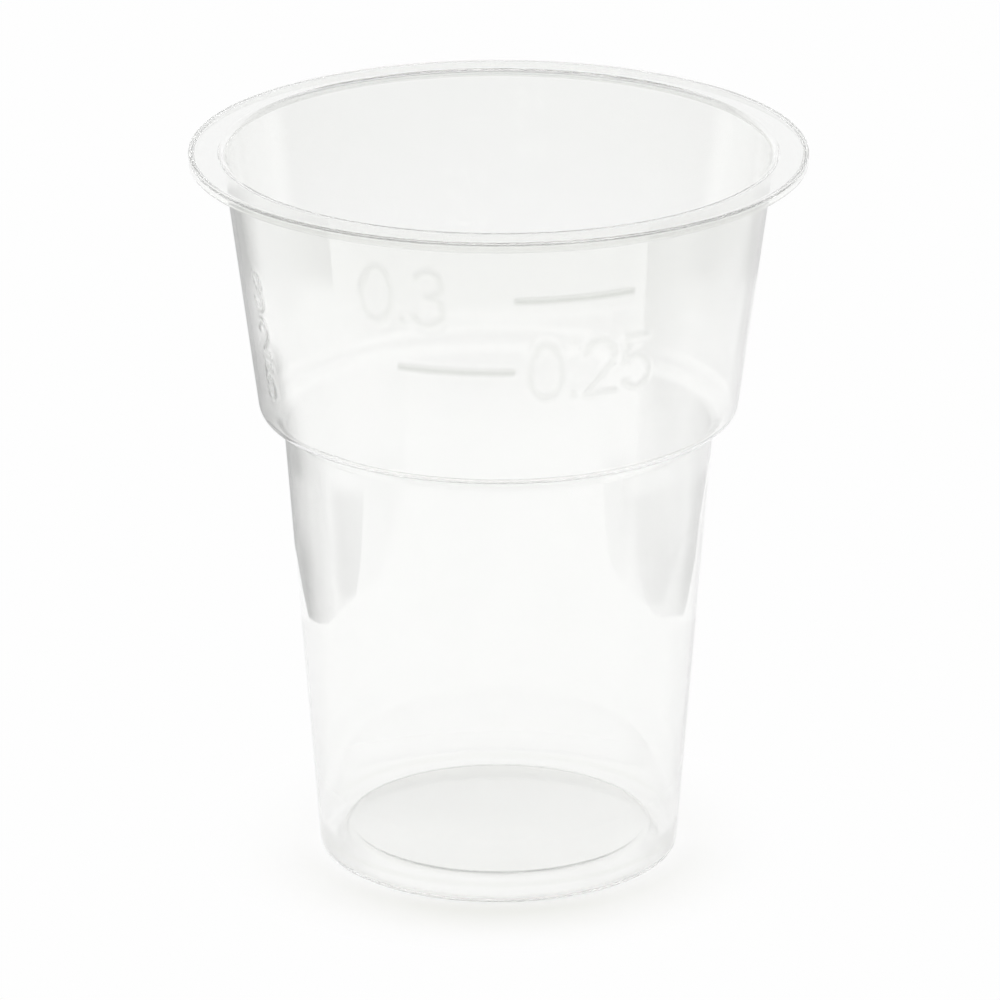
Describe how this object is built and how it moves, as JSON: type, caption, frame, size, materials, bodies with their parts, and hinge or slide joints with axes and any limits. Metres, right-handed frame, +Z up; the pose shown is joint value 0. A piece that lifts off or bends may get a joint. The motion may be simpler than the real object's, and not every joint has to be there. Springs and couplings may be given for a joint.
{
  "type": "plastic disposable cup",
  "caption": "Clear thin-walled disposable cup with a wide flat rim, a stepped collar with raised fill lines, a tapered body and a raised floor on a foot ring.",
  "frame": {"origin": "centre of the foot ring on the surface that the cup stands on", "axes": "+Z up along the cup's axis, towards the mouth; +Y to the back, so that the fill lines face -Y"},
  "size_m": [0.091, 0.091, 0.1085],
  "materials": {
    "clear_plastic": "clear, glossy, thermoformed"
  },
  "bodies": {
    "root": {"cup": "clear_plastic"}
  },
  "joints": []
}
